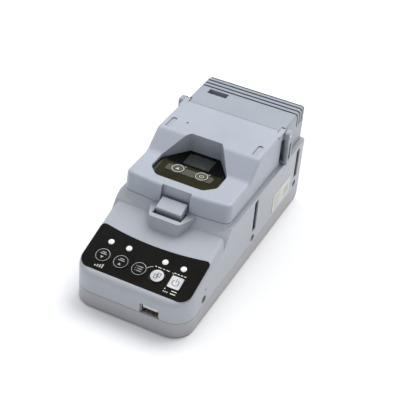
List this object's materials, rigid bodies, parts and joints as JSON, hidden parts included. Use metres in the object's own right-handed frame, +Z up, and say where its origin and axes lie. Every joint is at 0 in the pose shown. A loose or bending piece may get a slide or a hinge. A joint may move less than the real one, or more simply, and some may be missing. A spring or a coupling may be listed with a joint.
{
  "type": "gas monitor calibration station",
  "caption": "Bench docking station with a sloped key panel and a hinged, latched lid whose window shows the clip-on gas monitor held in a cradle beneath it.",
  "frame": {"origin": "centre of the footprint at the bottom of the feet", "axes": "+Z up, +Y towards the rear with the hose fittings, +X to the right of someone using the keys; the key panel faces -Y"},
  "size_m": [0.089, 0.202, 0.0813],
  "materials": {
    "battery_sleeve": "sleeve",
    "board_green": "solder resist",
    "capacitor_sleeve": "shrink sleeve",
    "case_lid": "fine satin grain",
    "case_lower": "fine satin grain",
    "case_upper": "fine satin grain",
    "chip_black": "moulded",
    "connector_ivory": "moulded nylon",
    "cradle_dark": "moulded",
    "filter_body": "moulded",
    "fitting_brass": "nickel-free turned",
    "foot_rubber": "matt",
    "hose_clear": "clear flexible tube",
    "ir_window": "infra-red window",
    "key_grey": "black with a grey ring",
    "key_light": "satin light grey",
    "label_white": "blank printed film",
    "latch_light": "satin",
    "lcd_grey": "reflective display",
    "lead_red": "insulated lead",
    "led_chip": "moulded",
    "led_window": "milky diffuser",
    "manifold_alu": "machined",
    "monitor_olive": "satin",
    "monitor_sensor": "moulded",
    "monitor_shell": "moulded",
    "monitor_strip": "soft-touch",
    "motor_steel": "drawn can",
    "pad_rubber": "closed-cell foam",
    "panel_black": "semi-gloss printed film",
    "pin_steel": "ground",
    "port_black": "moulded",
    "port_steel": "plated",
    "pump_grey": "moulded",
    "ribbon_amber": "polyimide",
    "screen_glass": "clear lens",
    "spring_steel": "bright",
    "zinc_screw": "zinc plated"
  },
  "bodies": {
    "station": {"base_label": "label_white", "board_capacitors": "capacitor_sleeve", "board_chips": "chip_black", "board_connectors": "connector_ivory", "board_screws": "zinc_screw", "case_screws": "zinc_screw", "control_overlay": "panel_black", "docking_board": "board_green", "feet": "foot_rubber", "gas_exhaust": "fitting_brass", "gas_hoses": "hose_clear", "gas_inlet": "fitting_brass", "gas_manifold": "manifold_alu", "hinge_pins": "pin_steel", "inlet_filter": "filter_body", "key_domes": "spring_steel", "keypad_board": "board_green", "keypad_ribbon": "ribbon_amber", "latch_pin": "pin_steel", "latch_spring": "spring_steel", "led_windows": "led_window", "link_port": "connector_ivory", "link_window": "ir_window", "lower_case": "case_lower", "main_board": "board_green", "monitor_back": "monitor_shell", "monitor_battery": "battery_sleeve", "monitor_bezel": "monitor_olive", "monitor_board": "board_green", "monitor_clip": "spring_steel", "monitor_cradle": "cradle_dark", "monitor_front": "monitor_shell", "monitor_key_strip": "monitor_strip", "monitor_screen": "lcd_grey", "monitor_sensor": "monitor_sensor", "monitor_window": "screen_glass", "power_jack": "port_black", "power_leads": "lead_red", "pump_head": "pump_grey", "pump_motor": "motor_steel", "rear_housing": "case_lid", "side_label": "label_white", "sounder": "port_black", "status_leds": "led_chip", "upper_case": "case_upper", "usb_shell": "port_steel", "usb_tongue": "port_black", "valve_bodies": "connector_ivory", "valve_coils": "chip_black"},
    "lid": {"lid_shell": "case_lid", "lid_pad": "pad_rubber"},
    "latch": {"latch_button": "latch_light"},
    "down_key": {"key_down": "key_grey"},
    "up_key": {"key_up": "key_grey"},
    "report_key": {"key_report": "key_grey"},
    "copy_key": {"key_copy": "key_light"},
    "power_key": {"key_power": "key_light"},
    "left_monitor_key": {"monitor_key_left": "monitor_strip"},
    "right_monitor_key": {"monitor_key_right": "monitor_strip"}
  },
  "joints": [
    {"name": "lid_hinge", "type": "hinge", "parent": "station", "child": "lid", "pos_m": [0, 0.053, 0.078], "axis": [-1, 0, 0], "range_deg": [0, 92]},
    {"name": "latch_tilt", "type": "hinge", "parent": "station", "child": "latch", "pos_m": [0, -0.043, 0.046], "axis": [1, 0, 0], "range_deg": [0, 8], "stiffness_Nm_per_rad": 0.3},
    {"name": "down_key_press", "type": "slide", "parent": "station", "child": "down_key", "axis": [0, 0.309, -0.9511], "range_m": [0, 0.0004], "stiffness_N_per_m": 900},
    {"name": "up_key_press", "type": "slide", "parent": "station", "child": "up_key", "axis": [0, 0.309, -0.9511], "range_m": [0, 0.0004], "stiffness_N_per_m": 900},
    {"name": "report_key_press", "type": "slide", "parent": "station", "child": "report_key", "axis": [0, 0.309, -0.9511], "range_m": [0, 0.0004], "stiffness_N_per_m": 900},
    {"name": "copy_key_press", "type": "slide", "parent": "station", "child": "copy_key", "axis": [0, 0.309, -0.9511], "range_m": [0, 0.0004], "stiffness_N_per_m": 900},
    {"name": "power_key_press", "type": "slide", "parent": "station", "child": "power_key", "axis": [0, 0.309, -0.9511], "range_m": [0, 0.0004], "stiffness_N_per_m": 900},
    {"name": "left_monitor_key_press", "type": "slide", "parent": "station", "child": "left_monitor_key", "axis": [0, 0, -1], "range_m": [0, 0.0003], "stiffness_N_per_m": 900},
    {"name": "right_monitor_key_press", "type": "slide", "parent": "station", "child": "right_monitor_key", "axis": [0, 0, -1], "range_m": [0, 0.0003], "stiffness_N_per_m": 900}
  ]
}
